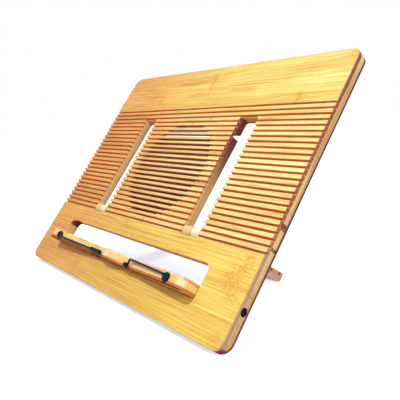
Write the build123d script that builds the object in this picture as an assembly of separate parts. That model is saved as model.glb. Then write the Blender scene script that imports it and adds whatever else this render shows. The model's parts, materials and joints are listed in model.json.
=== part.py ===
from build123d import *
import math
import os

# Folding bamboo reading stand: a grooved three-ply panel that leans back on two legs,
# with a hinged book ledge and two swinging page clips.
# Everything is drawn on the flat panel, where X runs across, Y up the panel and Z out of its front face.
# The finished pieces are then leaned back to the tilt that the legs give them.

# Panel
BOARD_WIDTH = 320.0
BOARD_HEIGHT = 251.0
FRONT_PLY = 3.0
CORE_PLY = 5.0
BACK_PLY = 2.0
BOARD_CORNER_RADIUS = 10.0
FRONT_EDGE_BEVEL = 0.7

# Grooves across the front, which become through slits inside a round field
GROOVE_COUNT = 25
GROOVE_PITCH = 5.27
GROOVE_WIDTH = 2.0
GROOVE_DEPTH = 2.6
TOP_GROOVE_HEIGHT = 198.6
SLIT_WIDTH = 2.7
SLIT_FIELD_MARGIN = 12.8
SLIT_FIELD_ROW = 13
SHORTEST_SLIT = 12.0

# Slots that take the folded legs
SLOT_MARGIN = 73.0
SLOT_WIDTH = 22.0
SLOT_BOTTOM = 69.8
SLOT_LENGTH = 117.4
SLOT_TOP_RADIUS = 2.5
SLOT_FOOT_RADIUS = 0.5

# Ledge, the window that it folds into and its hinge
WINDOW_MARGIN = 44.0
WINDOW_TOP = 53.8
WINDOW_TOP_RADIUS = 6.0
WINDOW_FOOT_RADIUS = 1.0
LEDGE_AXIS_HEIGHT = 30.8
LEDGE_GAP = 0.4
LEDGE_END_GAP = 0.6
LEDGE_END_REACH = 16.2
LEDGE_INNER_REACH = 5.0
LEDGE_END_RADIUS = 8.0
BOSS_HALF_WIDTH = 17.0
BOSS_RISE = 5.5
LEDGE_EDGE_BEVEL = 0.5
LEDGE_PIN_DIAMETER = 3.8
LEDGE_PIN_DEPTH = 14.0
PIN_HEAD_DIAMETER = 6.4
PIN_HEAD_LENGTH = 4.0
PIN_HEAD_SINK = 0.6
PIN_CLEARANCE = 0.05
BORE_END_GAP = 0.5

# Page clips
CLIP_INSET = 21.5
DISC_DIAMETER = 7.8
DISC_THICKNESS = 2.2
DISC_BEVEL = 0.5
CLIP_GAP = 0.15
SCREW_DIAMETER = 2.5
SCREW_LENGTH = 9.0
SCREW_HEAD_DIAMETER = 4.8
SCREW_HEAD_HEIGHT = 1.0
SCREW_HEAD_BEVEL = 0.3
HEAD_CLEARANCE = 0.2
WIRE_DIAMETER = 1.9
WIRE_HEIGHT = 1.3
WIRE_OFFSET = 1.5
WIRE_LIFT = 2.8
WIRE_PAST_BOSS = 0.5
SLEEVE_DIAMETER = 4.0
SLEEVE_LENGTH = 16.0
SLEEVE_CAP = 1.2
SLEEVE_BEVEL = 0.5
LEFT_CLIP_ANGLE = 0.5
RIGHT_CLIP_ANGLE = 1.5
HOOK_SHORTFALL = 19.5
HOOK_DROP = 5.5
HOOK_STEP = 0.8
HOOK_DIP = 0.7
HOOK_TAIL = 7.0
HOOK_BEND_RADIUS = 1.2
HOOK_SLEEVE_LENGTH = 4.2
HOOK_SLEEVE_SETBACK = 1.4

# Legs
LEG_THICKNESS = 9.5
LEG_SIDE_GAP = 0.4
LEG_HEEL_GAP = 0.3
LEG_TIP_GAP = 0.6
LEG_SPLAY = 6.0
LEG_PIN_DIAMETER = 3.8
LEG_PIN_DEPTH = 12.0
FOOT_BEVEL_START = 4.5
FOOT_TIP_RADIUS = 2.2
CROSSBAR_DIAMETER = 5.0
CROSSBAR_DISTANCE = 95.8
CROSSBAR_DEPTH = 12.0
NOTCH_CLEARANCE = 0.4
PEG_DIAMETER = 3.0
PEG_DEPTH = 6.0
PEG_PROUD = 0.2
PEG_FIRST = 92.4
PEG_SPACING = 12.5
PEG_OFFSET = 2.6

BOARD_THICKNESS = FRONT_PLY + CORE_PLY + BACK_PLY
MID = -BOARD_THICKNESS / 2
SLOT_OUTER = BOARD_WIDTH / 2 - SLOT_MARGIN
SLOT_CENTRE = SLOT_OUTER - SLOT_WIDTH / 2
SLOT_INNER = SLOT_OUTER - SLOT_WIDTH
SLIT_FIELD_RADIUS = SLOT_INNER - SLIT_FIELD_MARGIN
SLIT_DROP = (SLIT_WIDTH - GROOVE_WIDTH) / 2
WINDOW_WIDTH = BOARD_WIDTH - 2 * WINDOW_MARGIN
WINDOW_BOTTOM = LEDGE_AXIS_HEIGHT - BOARD_THICKNESS / 2 - LEDGE_GAP
LEDGE_HALF_WIDTH = WINDOW_WIDTH / 2 - LEDGE_END_GAP
CLIP_DISTANCE = WINDOW_WIDTH / 2 - CLIP_INSET
WIRE_LENGTH = CLIP_DISTANCE - BOSS_HALF_WIDTH + WIRE_PAST_BOSS
HOOK_START = WIRE_LENGTH - HOOK_SHORTFALL
LEDGE_SLOPE = math.atan2(LEDGE_END_REACH - LEDGE_INNER_REACH, LEDGE_HALF_WIDTH - BOSS_HALF_WIDTH)
HEEL_RADIUS = LEG_THICKNESS / 2
LEG_AXIS_HEIGHT = SLOT_BOTTOM + HEEL_RADIUS + LEG_HEEL_GAP
LEG_LENGTH = SLOT_BOTTOM + SLOT_LENGTH - LEG_TIP_GAP - LEG_AXIS_HEIGHT
LEG_WIDTH = SLOT_WIDTH - 2 * LEG_SIDE_GAP
LEG_OPEN_ANGLE = 90 - LEG_SPLAY
CROSSBAR_LEVEL = -(FRONT_PLY + NOTCH_CLEARANCE + CROSSBAR_DIAMETER / 2)

# The panel's lower back edge and the foot's bevel both lie on the desk, which sets the tilt
splay = math.radians(LEG_SPLAY)
bevel_start = LEG_LENGTH - FOOT_BEVEL_START
foot_up = LEG_AXIS_HEIGHT + bevel_start * math.sin(splay) - HEEL_RADIUS * math.cos(splay)
foot_back = bevel_start * math.cos(splay) + HEEL_RADIUS * math.sin(splay) - MID - BOARD_THICKNESS
TILT = math.degrees(math.atan2(foot_back, foot_up))


def rod(diameter, x_start, x_end, height, level):
    """A round bar along X at the given height up the panel and level out of its face."""
    middle = (x_start + x_end) / 2
    return Pos(middle, height, level) * Rot(0, 90, 0) * Cylinder(diameter / 2, abs(x_end - x_start))


def side_bar(sketch, x_centre, width):
    """A bar along X whose cross-section is drawn with X up the panel and Y out of its face."""
    return Pos(x_centre - width / 2, 0, 0) * extrude(Plane.YZ * sketch, width)


def mirrored(shape):
    """The same piece on the other side of the panel."""
    return mirror(shape, about=Plane.YZ)


# Panel plies

def opening(width, bottom, top, top_radius, foot_radius):
    """An upright opening centred across the panel, with its own corner radius at each end."""
    outline = Pos(0, (top + bottom) / 2) * Rectangle(width, top - bottom)
    outline = fillet(outline.vertices().group_by(Axis.Y)[-1], top_radius)
    return fillet(outline.vertices().group_by(Axis.Y)[0], foot_radius)


def panel_sketch():
    """Outline of the panel with the two leg slots and the window."""
    outline = Pos(0, BOARD_HEIGHT / 2) * RectangleRounded(BOARD_WIDTH, BOARD_HEIGHT, BOARD_CORNER_RADIUS)
    slot = opening(SLOT_WIDTH, SLOT_BOTTOM, SLOT_BOTTOM + SLOT_LENGTH, SLOT_TOP_RADIUS, SLOT_FOOT_RADIUS)
    window = opening(WINDOW_WIDTH, WINDOW_BOTTOM, WINDOW_TOP, WINDOW_TOP_RADIUS, WINDOW_FOOT_RADIUS)
    return outline - window - Pos(SLOT_CENTRE, 0) * slot - Pos(-SLOT_CENTRE, 0) * slot


def groove_heights():
    """Height of each groove's centre line, from the top down."""
    return [TOP_GROOVE_HEIGHT - row * GROOVE_PITCH for row in range(GROOVE_COUNT)]


def front_grooves():
    """Cutters for the shallow grooves, which run out through both side edges."""
    cutter = Box(BOARD_WIDTH + 2, GROOVE_WIDTH, 2 * GROOVE_DEPTH)
    return [Pos(0, height, 0) * cutter for height in groove_heights()]


def round_field_slits():
    """Cutters for the through slits, each as long as the round field is wide at its height.

    They are wider than the grooves and share their upper edges.
    """
    field_height = TOP_GROOVE_HEIGHT - SLIT_FIELD_ROW * GROOVE_PITCH
    slits = []
    for height in groove_heights():
        offset = height - field_height
        if abs(offset) >= SLIT_FIELD_RADIUS:
            continue
        length = 2 * math.sqrt(SLIT_FIELD_RADIUS ** 2 - offset ** 2)
        if length >= SHORTEST_SLIT:
            cutter = Box(length, SLIT_WIDTH, BOARD_THICKNESS + 2)
            slits.append(Pos(0, height - SLIT_DROP, MID) * cutter)
    return slits


def hinge_bores():
    """Cutters for the bores that hold the ledge's pins and the legs' pins."""
    ledge_bore = LEDGE_PIN_DIAMETER + 2 * PIN_CLEARANCE
    head_bore = PIN_HEAD_DIAMETER + 2 * PIN_CLEARANCE
    head_seat = BOARD_WIDTH / 2 - PIN_HEAD_SINK - PIN_HEAD_LENGTH
    leg_bore = LEG_PIN_DIAMETER + 2 * PIN_CLEARANCE
    bore_reach = LEG_PIN_DEPTH + BORE_END_GAP
    bores = []
    for side in (-1, 1):
        outer, inner = side * (BOARD_WIDTH / 2 + 1), side * (WINDOW_WIDTH / 2 - 1)
        bores.append(rod(ledge_bore, outer, inner, LEDGE_AXIS_HEIGHT, MID))
        bores.append(rod(head_bore, outer, side * head_seat, LEDGE_AXIS_HEIGHT, MID))
        outer, inner = side * (SLOT_OUTER + bore_reach), side * (SLOT_INNER - bore_reach)
        bores.append(rod(leg_bore, outer, inner, LEG_AXIS_HEIGHT, MID))
    return bores


def crossbar_notch():
    """Cutter for the notch across the back of the middle panel, where the folded crossbar lies."""
    height = LEG_AXIS_HEIGHT + CROSSBAR_DISTANCE
    width = CROSSBAR_DIAMETER + 2 * NOTCH_CLEARANCE
    depth = CORE_PLY + BACK_PLY
    return Pos(0, height, -FRONT_PLY - depth / 2) * Box(2 * SLOT_INNER + 2, width, depth)


def panel_ply(top, thickness):
    """One ply of the panel, from its upper face down, with the shared outline."""
    return Pos(0, 0, top - thickness) * extrude(panel_sketch(), thickness)


def build_front_ply():
    ply = panel_ply(0, FRONT_PLY)
    rim = ply.faces().sort_by(Axis.Z)[-1].outer_wire().edges()
    ply = chamfer(rim, FRONT_EDGE_BEVEL)
    return ply - front_grooves() - round_field_slits() - hinge_bores()


def build_core_ply():
    ply = panel_ply(-FRONT_PLY, CORE_PLY)
    return ply - round_field_slits() - hinge_bores() - crossbar_notch()


def build_back_ply():
    ply = panel_ply(-FRONT_PLY - CORE_PLY, BACK_PLY)
    return ply - round_field_slits() - hinge_bores() - crossbar_notch()


def build_ledge_pin():
    """Right-hand pin: its head sits just inside the panel's edge, its shank ends in the ledge."""
    outside = BOARD_WIDTH / 2 - PIN_HEAD_SINK
    seat = outside - PIN_HEAD_LENGTH
    head = rod(PIN_HEAD_DIAMETER, outside, seat, LEDGE_AXIS_HEIGHT, MID)
    return head + rod(LEDGE_PIN_DIAMETER, seat, LEDGE_HALF_WIDTH - LEDGE_PIN_DEPTH, LEDGE_AXIS_HEIGHT, MID)


def build_leg_pin():
    """Right-hand leg pin, through the leg and into the panel on both sides of the slot."""
    outer, inner = SLOT_OUTER + LEG_PIN_DEPTH, SLOT_INNER - LEG_PIN_DEPTH
    return rod(LEG_PIN_DIAMETER, outer, inner, LEG_AXIS_HEIGHT, MID)


# Ledge, drawn folded flat in the window and then turned out

def ledge_sketch():
    """Plan of the ledge: two sloping faces that end in rounded corners, and a finger boss between."""
    back = LEDGE_AXIS_HEIGHT - BOARD_THICKNESS / 2
    front = LEDGE_AXIS_HEIGHT + BOARD_THICKNESS / 2
    left_foot = (-LEDGE_HALF_WIDTH, back)
    left_end = (-LEDGE_HALF_WIDTH, front + LEDGE_END_REACH)
    left_boss = (-BOSS_HALF_WIDTH, front + LEDGE_INNER_REACH)
    crest = (0, front + LEDGE_INNER_REACH + BOSS_RISE)
    right_boss = (BOSS_HALF_WIDTH, front + LEDGE_INNER_REACH)
    right_end = (LEDGE_HALF_WIDTH, front + LEDGE_END_REACH)
    right_foot = (LEDGE_HALF_WIDTH, back)
    edges = Polyline(right_boss, right_end, right_foot, left_foot, left_end, left_boss)
    edges += ThreePointArc(left_boss, crest, right_boss)
    plan = make_face(edges)
    ends = plan.vertices().group_by(Axis.Y)[-1]
    return fillet(ends, LEDGE_END_RADIUS)


def ledge_body():
    """The whole ledge, with its hinge edge rounded about the pins."""
    body = Pos(0, 0, -BOARD_THICKNESS) * extrude(ledge_sketch(), BOARD_THICKNESS)
    for rim in (body.faces().sort_by(Axis.Z)[0], body.faces().sort_by(Axis.Z)[-1]):
        front_edges = [edge for edge in rim.edges() if edge.center().Y > LEDGE_AXIS_HEIGHT + BOARD_THICKNESS / 2]
        body = chamfer(front_edges, LEDGE_EDGE_BEVEL)
    corner_size = BOARD_THICKNESS / 2
    corner = Pos(0, LEDGE_AXIS_HEIGHT - corner_size, 0) * Box(WINDOW_WIDTH, 2 * corner_size, 2 * corner_size)
    corner -= rod(BOARD_THICKNESS, -WINDOW_WIDTH, WINDOW_WIDTH, LEDGE_AXIS_HEIGHT, MID)
    body -= corner
    bore = LEDGE_PIN_DIAMETER + 2 * PIN_CLEARANCE
    bore_end = LEDGE_HALF_WIDTH - LEDGE_PIN_DEPTH - BORE_END_GAP
    for side in (-1, 1):
        body -= rod(bore, side * (LEDGE_HALF_WIDTH + 1), side * bore_end, LEDGE_AXIS_HEIGHT, MID)
    return body


def turned_out(shape):
    """Turns a folded piece of the ledge a quarter turn forward about the pins."""
    centre = Pos(0, LEDGE_AXIS_HEIGHT, MID)
    return centre * Rot(90, 0, 0) * centre.inverse() * shape


def build_ledge_plies():
    """The ledge's three plies, turned out, with the screw holes of the clips."""
    body = ledge_body()
    plies = []
    top = 0
    for thickness in (FRONT_PLY, CORE_PLY, BACK_PLY):
        layer = Pos(0, LEDGE_AXIS_HEIGHT, top - thickness / 2) * Box(BOARD_WIDTH, BOARD_HEIGHT, thickness)
        ply = turned_out(body & layer)
        for hole in (left_clip_seat() * screw_hole(), mirrored(left_clip_seat() * screw_hole())):
            ply -= hole
        plies.append(ply)
        top -= thickness
    return plies


# Page clips, drawn on the left sloping face: X along the arm, Y up, Z out of the face

def left_clip_seat():
    """Where the left clip's disc sits on the ledge's sloping front face."""
    along = (math.cos(LEDGE_SLOPE), 0, -math.sin(LEDGE_SLOPE))
    outward = (math.sin(LEDGE_SLOPE), 0, math.cos(LEDGE_SLOPE))
    reach = LEDGE_INNER_REACH + (CLIP_DISTANCE - BOSS_HALF_WIDTH) * math.tan(LEDGE_SLOPE)
    return Plane(origin=(-CLIP_DISTANCE, LEDGE_AXIS_HEIGHT, reach), x_dir=along, z_dir=outward).location


def upright_cylinder(diameter, bottom, top):
    """A cylinder on the clip's axis between two heights above the face."""
    return Pos(0, 0, (bottom + top) / 2) * Cylinder(diameter / 2, top - bottom)


HEAD_TOP = CLIP_GAP + DISC_THICKNESS
HEAD_BOTTOM = HEAD_TOP - SCREW_HEAD_HEIGHT


def screw_hole():
    return upright_cylinder(SCREW_DIAMETER, -SCREW_LENGTH - BORE_END_GAP, 1)


def build_screw():
    """Pivot screw: its shank stands in the ledge, its head sits in the disc's recess."""
    screw = upright_cylinder(SCREW_DIAMETER, -SCREW_LENGTH, HEAD_BOTTOM)
    head = upright_cylinder(SCREW_HEAD_DIAMETER, HEAD_BOTTOM, HEAD_TOP)
    head = chamfer(head.edges().group_by(Axis.Z)[-1], SCREW_HEAD_BEVEL)
    return screw + head


def build_disc():
    """Round hub of the clip, recessed for the screw's head."""
    disc = upright_cylinder(DISC_DIAMETER, CLIP_GAP, HEAD_TOP)
    disc = chamfer(disc.edges().group_by(Axis.Z)[-1], DISC_BEVEL)
    disc -= upright_cylinder(SCREW_DIAMETER + 2 * PIN_CLEARANCE, -1, HEAD_TOP + 1)
    recess = SCREW_HEAD_DIAMETER + 2 * HEAD_CLEARANCE
    return disc - upright_cylinder(recess, HEAD_BOTTOM - CLIP_GAP, HEAD_TOP + 1)


def wire_level(distance):
    """Height of the arm's centre line above the face: it rises gently towards its free end."""
    return WIRE_HEIGHT + WIRE_LIFT * distance / WIRE_LENGTH


def swept_wire(path):
    """Round wire along a path, cut to the disc's rim."""
    section = Plane(origin=path @ 0, z_dir=path % 0) * Circle(WIRE_DIAMETER / 2)
    wire = sweep(section, path=path)
    return wire - upright_cylinder(DISC_DIAMETER, -1, HEAD_TOP + 3)


def sleeve_on(start, end):
    """A closed-ended sleeve round the wire between two points of its centre line."""
    start, end = Vector(*start), Vector(*end)
    direction = (end - start).normalized()
    length = (end - start).length
    frame = Plane(origin=start, z_dir=direction).location
    sleeve = frame * Pos(0, 0, length / 2) * Cylinder(SLEEVE_DIAMETER / 2, length)
    ends = sleeve.edges().filter_by(GeomType.CIRCLE)
    return chamfer(ends, SLEEVE_BEVEL)


def build_straight_arm():
    """Left arm: one straight wire off the disc's lower side, with the sleeve in line on its end."""
    side = -WIRE_OFFSET
    start = (0, side, wire_level(0))
    end = (WIRE_LENGTH, side, wire_level(WIRE_LENGTH))
    wire = swept_wire(Line(start, end))
    tip = WIRE_LENGTH + SLEEVE_CAP
    root = tip - SLEEVE_LENGTH
    sleeve = sleeve_on((root, side, wire_level(root)), (tip, side, wire_level(tip)))
    return wire, sleeve - swept_wire(Line(start, end))


def build_hooked_arm():
    """Right arm, off the disc's upper side: its end drops to a short tail with a short sleeve."""
    corner = (HOOK_START, WIRE_OFFSET, wire_level(HOOK_START))
    drop = (HOOK_START + HOOK_STEP, WIRE_OFFSET - HOOK_DROP, corner[2] - HOOK_DIP)
    tail = (drop[0] + HOOK_TAIL, drop[1], drop[2])
    path = FilletPolyline((0, WIRE_OFFSET, wire_level(0)), corner, drop, tail, radius=HOOK_BEND_RADIUS)
    wire = swept_wire(path)
    root = drop[0] + HOOK_SLEEVE_SETBACK
    sleeve = sleeve_on((root, drop[1], drop[2]), (root + HOOK_SLEEVE_LENGTH, drop[1], drop[2]))
    return wire, sleeve - wire


# Legs, drawn folded into their slots and then swung open

def leg_sketch():
    """Side of a leg: a round heel about the pin and a bar with a rounded tip."""
    bar = Pos(LEG_AXIS_HEIGHT + LEG_LENGTH / 2, MID) * Rectangle(LEG_LENGTH, LEG_THICKNESS)
    bar = fillet(bar.vertices().group_by(Axis.X)[-1], FOOT_TIP_RADIUS)
    return bar + Pos(LEG_AXIS_HEIGHT, MID) * Circle(HEEL_RADIUS)


def leg_plan():
    """Front outline of the right leg, whose tip follows the rounded top of its slot."""
    outline = Pos(SLOT_CENTRE, LEG_AXIS_HEIGHT) * Rectangle(LEG_WIDTH, 2 * LEG_LENGTH)
    outline = fillet(outline.vertices().group_by(Axis.Y)[-1], SLOT_TOP_RADIUS - LEG_SIDE_GAP)
    return Pos(0, 0, -BOARD_THICKNESS) * extrude(outline, BOARD_THICKNESS)


def swung_open(shape):
    """Swings a folded piece of the leg frame out behind the panel."""
    centre = Pos(0, LEG_AXIS_HEIGHT, MID)
    return centre * Rot(-LEG_OPEN_ANGLE, 0, 0) * centre.inverse() * shape


def peg_rods():
    """The two pegs in the outer face of the right leg, near its foot."""
    outer = SLOT_OUTER - LEG_SIDE_GAP + PEG_PROUD
    inner = outer - PEG_PROUD - PEG_DEPTH
    pegs = []
    for distance in (PEG_FIRST, PEG_FIRST + PEG_SPACING):
        pegs.append(rod(PEG_DIAMETER, outer, inner, LEG_AXIS_HEIGHT + distance, MID + PEG_OFFSET))
    return pegs


def crossbar_rod():
    end = SLOT_INNER + LEG_SIDE_GAP + CROSSBAR_DEPTH
    return rod(CROSSBAR_DIAMETER, -end, end, LEG_AXIS_HEIGHT + CROSSBAR_DISTANCE, CROSSBAR_LEVEL)


def build_leg():
    """Right leg, open, with its foot planed flat where it stands on the desk."""
    leg = side_bar(leg_sketch(), SLOT_CENTRE, LEG_WIDTH) & leg_plan()
    leg -= rod(LEG_PIN_DIAMETER + 2 * PIN_CLEARANCE, 0, BOARD_WIDTH, LEG_AXIS_HEIGHT, MID)
    leg -= crossbar_rod()
    leg -= peg_rods()
    below_desk = Pos(0, 0, -BOARD_HEIGHT / 2) * Box(2 * BOARD_WIDTH, 4 * BOARD_HEIGHT, BOARD_HEIGHT)
    return swung_open(leg) - desk_to_panel() * below_desk


# Placing on the desk

def panel_to_desk():
    """Leans the panel back so that its lower back edge lies on the desk."""
    return Rot(TILT, 0, 0) * Pos(0, 0, BOARD_THICKNESS)


def desk_to_panel():
    return panel_to_desk().inverse()


def build_parts():
    """Every piece in the panel's own frame, by node name."""
    parts = {}
    parts["board_front_ply"] = build_front_ply()
    parts["board_core_ply"] = build_core_ply()
    parts["board_back_ply"] = build_back_ply()
    plies = build_ledge_plies()
    for name, ply in zip(("ledge_front_ply", "ledge_core_ply", "ledge_back_ply"), plies):
        parts[name] = ply
    pairs = {
        "ledge_pin": build_ledge_pin(),
        "leg_pin": build_leg_pin(),
        "leg": build_leg(),
    }
    for name, right in pairs.items():
        parts[name + "_right"] = right
        parts[name + "_left"] = mirrored(right)
    parts["leg_pegs_right"] = Part() + [swung_open(peg) for peg in peg_rods()]
    parts["leg_pegs_left"] = Part() + [mirrored(swung_open(peg)) for peg in peg_rods()]
    parts["leg_crossbar"] = swung_open(crossbar_rod())
    seat = left_clip_seat()
    left_wire, left_sleeve = build_straight_arm()
    right_wire, right_sleeve = build_hooked_arm()
    left_turn = seat * Rot(0, 0, LEFT_CLIP_ANGLE)
    right_turn = seat * Rot(0, 0, RIGHT_CLIP_ANGLE)
    parts["clip_screw_left"] = seat * build_screw()
    parts["clip_disc_left"] = left_turn * build_disc()
    parts["clip_wire_left"] = left_turn * left_wire
    parts["clip_sleeve_left"] = left_turn * left_sleeve
    parts["clip_screw_right"] = mirrored(seat * build_screw())
    parts["clip_disc_right"] = mirrored(right_turn * build_disc())
    parts["clip_wire_right"] = mirrored(right_turn * right_wire)
    parts["clip_sleeve_right"] = mirrored(right_turn * right_sleeve)
    return parts


def main():
    os.makedirs("parts", exist_ok=True)
    placed = {name: panel_to_desk() * shape for name, shape in build_parts().items()}
    boxes = [shape.bounding_box() for shape in placed.values()]
    front = min(box.min.Y for box in boxes)
    back = max(box.max.Y for box in boxes)
    for name, shape in placed.items():
        export_step(Pos(0, -(front + back) / 2, 0) * shape, f"parts/{name}.step")
    print(f"tilt {TILT:.3f} degrees, leg length {LEG_LENGTH:.2f} mm, depth {back - front:.3f} mm")
    print(f"moved back by {-(front + back) / 2:.4f} mm, lowest point {min(box.min.Z for box in boxes):.4f} mm")


main()
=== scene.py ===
"""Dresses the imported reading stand: grooved bamboo panel, book ledge, page clips and folding legs."""
import json
import math
import bmesh
import bpy
from mathutils import Matrix, Vector


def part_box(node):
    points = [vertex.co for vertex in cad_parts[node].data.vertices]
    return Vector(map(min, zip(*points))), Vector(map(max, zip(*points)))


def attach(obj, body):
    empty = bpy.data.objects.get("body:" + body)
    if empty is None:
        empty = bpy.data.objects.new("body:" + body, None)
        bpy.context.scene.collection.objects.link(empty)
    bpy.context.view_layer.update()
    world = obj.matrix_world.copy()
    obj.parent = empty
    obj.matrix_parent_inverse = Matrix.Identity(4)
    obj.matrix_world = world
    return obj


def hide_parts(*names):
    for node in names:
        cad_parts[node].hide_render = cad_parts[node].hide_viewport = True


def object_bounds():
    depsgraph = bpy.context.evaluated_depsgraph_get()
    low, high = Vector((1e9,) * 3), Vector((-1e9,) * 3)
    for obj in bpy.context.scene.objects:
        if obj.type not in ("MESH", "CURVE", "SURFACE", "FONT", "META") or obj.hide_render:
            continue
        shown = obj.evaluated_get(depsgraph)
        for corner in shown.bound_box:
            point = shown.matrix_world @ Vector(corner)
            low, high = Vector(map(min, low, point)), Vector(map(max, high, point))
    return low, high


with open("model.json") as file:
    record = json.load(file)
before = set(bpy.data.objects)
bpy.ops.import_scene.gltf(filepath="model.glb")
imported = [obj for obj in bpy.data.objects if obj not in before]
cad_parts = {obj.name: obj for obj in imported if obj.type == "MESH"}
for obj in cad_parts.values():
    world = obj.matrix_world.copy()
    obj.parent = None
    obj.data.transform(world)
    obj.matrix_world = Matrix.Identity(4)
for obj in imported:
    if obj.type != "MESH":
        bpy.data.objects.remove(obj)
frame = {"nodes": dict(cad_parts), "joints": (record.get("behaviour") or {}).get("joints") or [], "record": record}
cad_low, cad_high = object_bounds()

# Places on the panel as it lies folded flat, in metres from its lower left front corner: X across,
# Y up the panel, Z out of its front. A pair says where something starts and where it ends
MM = 0.001
PANEL_MIDDLE = (cad_high.x - cad_low.x) / 2
BOOK_REST_HEIGHT = 225 * MM
GROOVES = (70.9 * MM, 199.8 * MM)
GROOVE_FACE = (0.1 * MM, 0.9 * MM)
GROOVE_BACK = (2.95 * MM, 2.7 * MM)
FIELD_HEIGHT = 130.1 * MM
FIELD_RADIUS = 52.6 * MM
FIELD_BORDER = 1.5 * MM

# How the face's colour changes, to the right and up to the top band: partly the wood's tone, partly painted light,
# paler towards the upper right where the light falls strongest
LEFT_TO_RIGHT = (-20 * MM, 300 * MM)
TOP_BAND_UP = (120 * MM, 250 * MM)
TOP_BAND_ACROSS = (60 * MM, 330 * MM)

# Cut faces inside these are the walls of the slots and the window, and those outside are edges
FACE_WALLS = (5 * MM, 310 * MM)
PLY_WALLS_ACROSS = (5 * MM, 315 * MM)
PLY_WALLS_UP = (10 * MM, 240 * MM)

# The side edges are paler low down. The right one has two knots
PALER_SIDE = (100 * MM, 60 * MM)
TAN_SIDE = (90 * MM, 20 * MM)
RIGHT_SIDE = (314 * MM, 317 * MM)
SIDE_KNOTS = ((92.5 * MM, 96.5 * MM), (76 * MM, 77.5 * MM))

# Darker patches: the upper part of the right slot's inner wall, and the window's corner
DARKER_WALL = (223.5 * MM, 226.5 * MM)
WALL_DARKER_UP = (100 * MM, 160 * MM)
WALL_DARKER_RAGGED = 20 * MM
CORNER_DARKER_ACROSS = (43 * MM, 56 * MM)
CORNER_DARKER_UP = (49 * MM, 55 * MM)
CORNER_DARKER_BORDER = 2 * MM

# The legs, and the notch for their crossbar. The heel's places are across a leg, from its left side; the heel has
# a painted cream highlight on its outer part and a painted shade line
LEG_LEFT_SIDE = 73.4 * MM
LEG_PITCH = 152 * MM
LEG_HEEL = (90 * MM, 81 * MM)
HEEL_HIGHLIGHT_PART = (10.5 * MM, 12.5 * MM)
HEEL_SHADE_LINE = (10.8 * MM, 11.2 * MM)
SHADE_LINE_BORDER = 0.5 * MM
CROSSBAR_DISTANCE = 95.8 * MM
NOTCH_HALF = 3.4 * MM
NOTCH_BORDER = 0.3 * MM

# The ledge's painted shade line along its lower arris, and its painted highlights on the finger boss and the right
# shoulder
ARRIS_SHADE_DEPTH = (-1.4 * MM, -0.7 * MM)
BOSS_HIGHLIGHT = (150 * MM, 157 * MM)
SHOULDER_HIGHLIGHT = (270 * MM, 273 * MM)
BOSS_BORDER = 5 * MM
SHOULDER_BORDER = 3 * MM

# How squarely a face looks along X to count as a side, and along Y to count as an end
SIDE_FACING = (0.5, 0.75)
END_FACING = (0.5, 0.72)

# Bamboo: how wide its strips are, and how high its grain and the metal's stand
FACE_STRIP = 21 * MM
PLY_STRIP = 19 * MM
LEG_STRIP = 9.5 * MM
FACE_GRAIN = 0.12 * MM
PLY_GRAIN = 0.1 * MM
METAL_GRAIN = 0.03 * MM

# How many features fit in a metre: along a strip, across it and through it
STREAKS = (7, 250, 60)
FIBRES = (18, 760, 700)
CLOUDS = (12, 34, 20)
THREADS = (14, 640, 300)
PORES = (190, 1500, 700)
RING_WOBBLES = (0, 420, 0)
RING_BREAKS = (160, 700, 300)
BUNDLES = 1500.0
CUT_BANDS = (40, 160, 700)
CUT_CLOUDS = (20, 45, 45)
SQUIGGLES = (0, 150, 0)
MARK_GRIT = (420, 900, 300)
MARK_FLECKS = (330, 560, 300)
DARKER_EDGES = (300, 60, 300)
KNOT_EDGES = (300, 260, 500)
METAL_PATCHES = 900
METAL_MARKS = 4000

# The value at which each of them starts to show, and the one at which it shows fully
THREADS_SHOW = (0.54, 0.62)
CLOUDS_THREADED = (0.25, 0.6)
PORES_SHOW = (0.60, 0.70)
RING_SHOWS = (0.38, 0.6)
BUNDLES_SHOW = (0.55, 0.1)
GRIT_SHOWS = (0.36, 0.6)
FLECKS_SHOW = (0.49, 0.56)
KNOT_SHOWS = (0.25, 0.45)
PATCHES_SHOW = (0.45, 0.75)

# How dark strips and cut ends are before their noises are added
STRIP_SHADE = 0.36
CUT_SHADE = -0.25

# What moves each strip's pattern and its rings, so that no two strips are alike
SECOND_DRAW = 31.7
MOVED_BY_TONE = 3.1
MOVED_BY_STRIP = 0.013
RINGS_MOVED = 7.3

# Growth rings and glue seams, each from where it fades out to where it is strongest
RING_SPACING = 270 * MM
RING_BEND = 4 * MM
RING_LINE = (1.1 * MM, 0.2 * MM)
RING_HALO = (8 * MM, 1 * MM)
SEAM_LINE = (0.4 * MM, 0.05 * MM)

# A growth mark: its bend and its line's width in metres, its ends in its own lengths, and its halo
# in its own spreads
MARK_BEND = 9 * MM
MARK_LINE = (1.3 * MM, 0.3 * MM)
MARK_ENDS = (0.55, 0.35)
MARK_HALO = (1.0, 0.1)

# Growth marks that show on the face: along, up, length and spread in millimetres, then how strong
# the line across the fibres is and how strong the flecks beside it are
FACE_MARKS = (
    (160, 232, 22, 8, 0.9, 0.9),
    (155, 238, 10, 7, 0.3, 0.7),
    (82, 212, 13, 6, 0.5, 0.5),
    (280, 205, 16, 10, 0.5, 0.8),
    (62, 243, 5, 10, 0.25, 0.4),
    (259, 226, 4, 12, 0.3, 0.5),
    (185, 187, 6, 4, 0.8, 0.6),
    (162, 180, 5, 4, 0.7, 0.6),
    (166, 74, 9, 4, 0.8, 0.6),
    (100, 11, 26, 10, 0.45, 0.5),
    (60, 60, 18, 9, 0.15, 0.4),
    (309, 62, 16, 8, 0.0, 1.0),
    (304, 53, 14, 12, 0.0, 0.9),
    (300, 45, 18, 12, 0.0, 0.9),
    (307, 40, 16, 9, 0.0, 1.0),
    (311, 7, 14, 8, 0.0, 0.6),
)

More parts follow.
